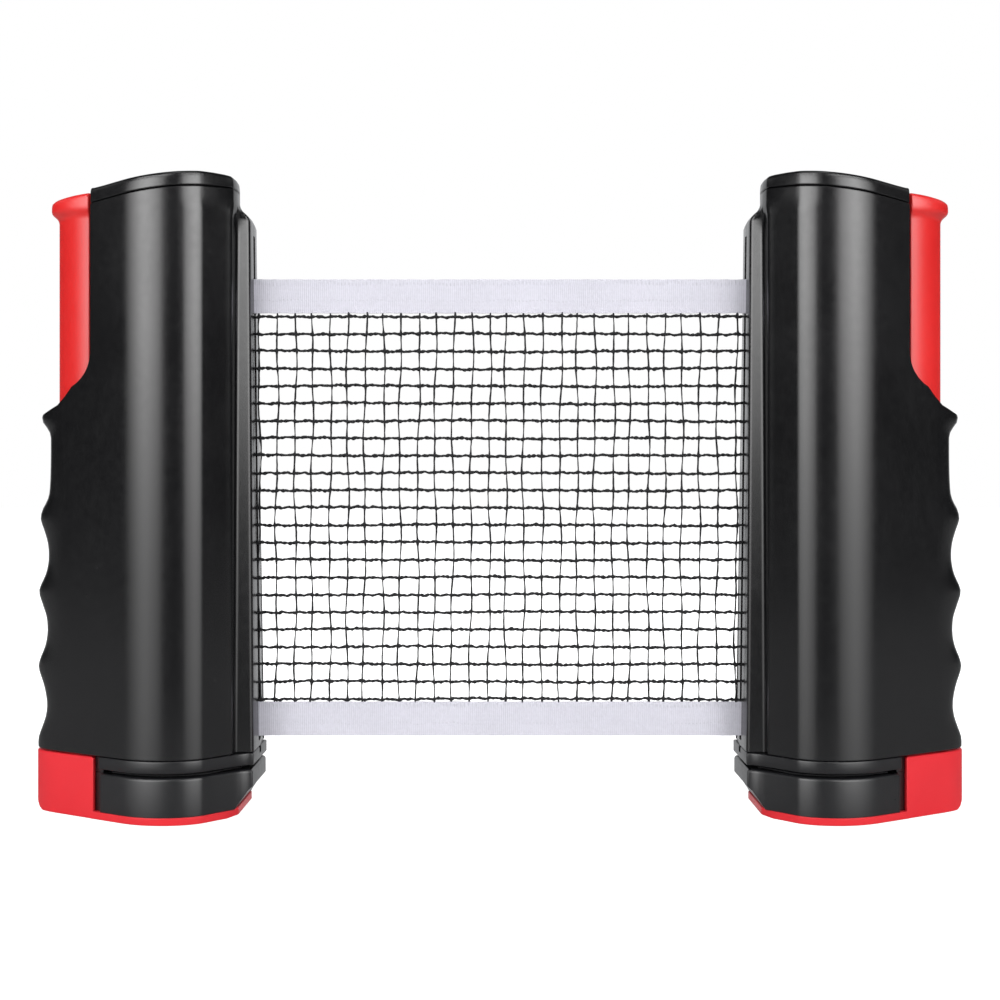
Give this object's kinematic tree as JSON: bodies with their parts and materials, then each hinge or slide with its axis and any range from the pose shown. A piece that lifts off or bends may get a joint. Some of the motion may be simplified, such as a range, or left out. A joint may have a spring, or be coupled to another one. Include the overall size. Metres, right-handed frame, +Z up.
{
  "type": "retractable table tennis net with clamp posts",
  "caption": "Two spring-loaded clamp posts with a black mesh net between white tapes stretched from slot to slot; red thumb levers open the jaws.",
  "frame": {"origin": "midway between the posts and through their thickness, on the surface that the red floor plates stand on", "axes": "+X along the net from the left post to the right post, +Y away from the front faces, +Z up"},
  "size_m": [0.2932, 0.0488, 0.1978],
  "materials": {
    "black_plastic": "satin moulded black plastic with fine grain",
    "red_plastic": "semi-gloss moulded red plastic",
    "pad_rubber": "matt black rubber",
    "screw_steel": "zinc-plated steel",
    "rod_steel": "drawn steel",
    "spring_steel": "spring wire",
    "inner_plastic": "plain black nylon",
    "wound_cloth": "net wound in layers",
    "mesh_cord": "knotted black polyester cord",
    "white_tape": "white woven polyester tape"
  },
  "bodies": {
    "left_post": {"left_front_shell": "black_plastic", "left_back_shell": "black_plastic", "left_top_cap": "black_plastic", "left_base_cap": "black_plastic", "left_base_pad": "pad_rubber", "left_shell_screws": "screw_steel", "left_base_screws": "screw_steel", "left_guide_rod": "rod_steel", "left_clamp_spring": "spring_steel", "left_roller_axle": "rod_steel", "left_roller_plate": "inner_plastic", "left_rewind_spring": "spring_steel"},
    "left_clamp": {"left_clamp_slide": "red_plastic", "left_jaw_block": "black_plastic", "left_jaw_pad": "pad_rubber", "left_jaw_screws": "screw_steel"},
    "left_roller": {"left_roller_tube": "inner_plastic", "left_lower_bush": "inner_plastic", "left_upper_bush": "inner_plastic", "left_wound_net": "wound_cloth"},
    "net": {"net_mesh": "mesh_cord", "net_top_tape": "white_tape", "net_bottom_tape": "white_tape"},
    "right_post": {"right_front_shell": "black_plastic", "right_back_shell": "black_plastic", "right_top_cap": "black_plastic", "right_base_cap": "black_plastic", "right_base_pad": "pad_rubber", "right_shell_screws": "screw_steel", "right_base_screws": "screw_steel", "right_guide_rod": "rod_steel", "right_clamp_spring": "spring_steel", "right_roller_axle": "rod_steel", "right_roller_plate": "inner_plastic", "right_rewind_spring": "spring_steel"},
    "right_clamp": {"right_clamp_slide": "red_plastic", "right_jaw_block": "black_plastic", "right_jaw_pad": "pad_rubber", "right_jaw_screws": "screw_steel"},
    "right_roller": {"right_roller_tube": "inner_plastic", "right_lower_bush": "inner_plastic", "right_upper_bush": "inner_plastic", "right_wound_net": "wound_cloth"}
  },
  "joints": [
    {"name": "left_clamp_slide", "type": "slide", "parent": "left_post", "child": "left_clamp", "axis": [0, 0, -1], "range_m": [0, 0.05], "stiffness_N_per_m": 300, "springref_m": -0.03, "deforming": ["left_clamp_spring"]},
    {"name": "right_clamp_slide", "type": "slide", "parent": "right_post", "child": "right_clamp", "axis": [0, 0, -1], "range_m": [0, 0.05], "stiffness_N_per_m": 300, "springref_m": -0.03, "deforming": ["right_clamp_spring"]},
    {"name": "left_net_pull", "type": "slide", "parent": "left_post", "child": "net", "axis": [1, 0, 0], "range_m": [-0.06, 0.775], "deforming": ["net_mesh", "net_top_tape", "net_bottom_tape"]},
    {"name": "right_net_pull", "type": "slide", "parent": "net", "child": "right_post", "axis": [1, 0, 0], "range_m": [-0.06, 0.775], "deforming": ["net_mesh", "net_top_tape", "net_bottom_tape"]},
    {"name": "left_roller_spin", "type": "hinge", "parent": "left_post", "child": "left_roller", "pos_m": [-0.101, 0.01085, 0.095], "axis": [0, 0, 1], "range_deg": [-335.6, 4274.6]},
    {"name": "right_roller_spin", "type": "hinge", "parent": "right_post", "child": "right_roller", "pos_m": [0.101, 0.01085, 0.095], "axis": [0, 0, 1], "range_deg": [-4274.6, 335.6]}
  ],
  "couplings": [
    {"joint": "left_roller_spin", "follows": "left_net_pull", "rad_per_m": 96.154},
    {"joint": "right_roller_spin", "follows": "right_net_pull", "rad_per_m": -96.154}
  ]
}
